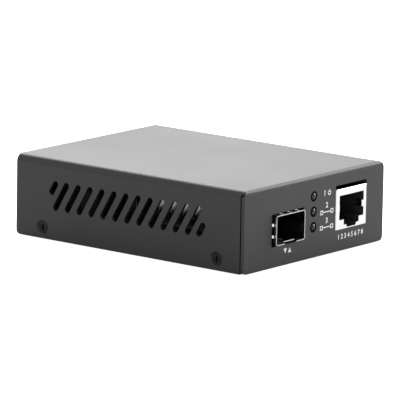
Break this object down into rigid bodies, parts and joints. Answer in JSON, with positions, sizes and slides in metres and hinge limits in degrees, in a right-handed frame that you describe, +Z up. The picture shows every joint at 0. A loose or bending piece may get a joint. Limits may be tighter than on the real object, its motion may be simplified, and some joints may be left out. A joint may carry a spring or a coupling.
{
  "type": "fibre media converter",
  "caption": "Small dark grey steel box that joins fibre and copper networks, with an SFP cage, RJ45 jack and status lamps in front and power jack and slide switch behind.",
  "frame": {"origin": "on the surface that it stands on, below the middle of the case", "axes": "+Z up, +X to the right when the ports are seen from in front, +Y from the front with the ports to the rear with the power jack"},
  "size_m": [0.074, 0.097, 0.027],
  "materials": {
    "case_paint": "fine satin powder paint",
    "screw_black": "black zinc",
    "plated_steel": "bright nickel",
    "cage_steel": "bright tin plate",
    "contact_gold": "gold flash",
    "lamp_lens": "smoked lens",
    "black_plastic": "moulded",
    "board_green": "solder mask",
    "chip_black": "moulded resin",
    "can_aluminium": "drawn can"
  },
  "bodies": {
    "converter": {"top_cover": "case_paint", "tray": "case_paint", "circuit_board": "board_green", "cover_screw_front_left": "screw_black", "standoff_front_left": "plated_steel", "board_screw_front_left": "plated_steel", "cover_screw_rear_left": "screw_black", "standoff_rear_left": "plated_steel", "board_screw_rear_left": "plated_steel", "cover_screw_front_right": "screw_black", "standoff_front_right": "plated_steel", "board_screw_front_right": "plated_steel", "cover_screw_rear_right": "screw_black", "standoff_rear_right": "plated_steel", "board_screw_rear_right": "plated_steel", "sfp_cage": "cage_steel", "sfp_spring_collar": "cage_steel", "sfp_edge_connector": "black_plastic", "rj45_housing": "cage_steel", "rj45_insert": "black_plastic", "rj45_contact_1": "contact_gold", "rj45_contact_2": "contact_gold", "rj45_contact_3": "contact_gold", "rj45_contact_4": "contact_gold", "rj45_contact_5": "contact_gold", "rj45_contact_6": "contact_gold", "rj45_contact_7": "contact_gold", "rj45_contact_8": "contact_gold", "lamp_copper": "lamp_lens", "lamp_fibre": "lamp_lens", "lamp_power": "lamp_lens", "lamp_holder": "black_plastic", "line_transformer": "chip_black", "main_chip": "chip_black", "memory_chip": "chip_black", "regulator_chip": "chip_black", "crystal": "can_aluminium", "power_coil": "chip_black", "input_capacitor": "can_aluminium", "output_capacitor": "can_aluminium", "power_jack": "black_plastic", "power_jack_pin": "plated_steel", "switch_can": "plated_steel", "switch_base": "black_plastic"},
    "knob": {"switch_knob": "black_plastic"}
  },
  "joints": [
    {"name": "mode_switch_slide", "type": "slide", "parent": "converter", "child": "knob", "axis": [1, 0, 0], "range_m": [0, 0.002]}
  ]
}
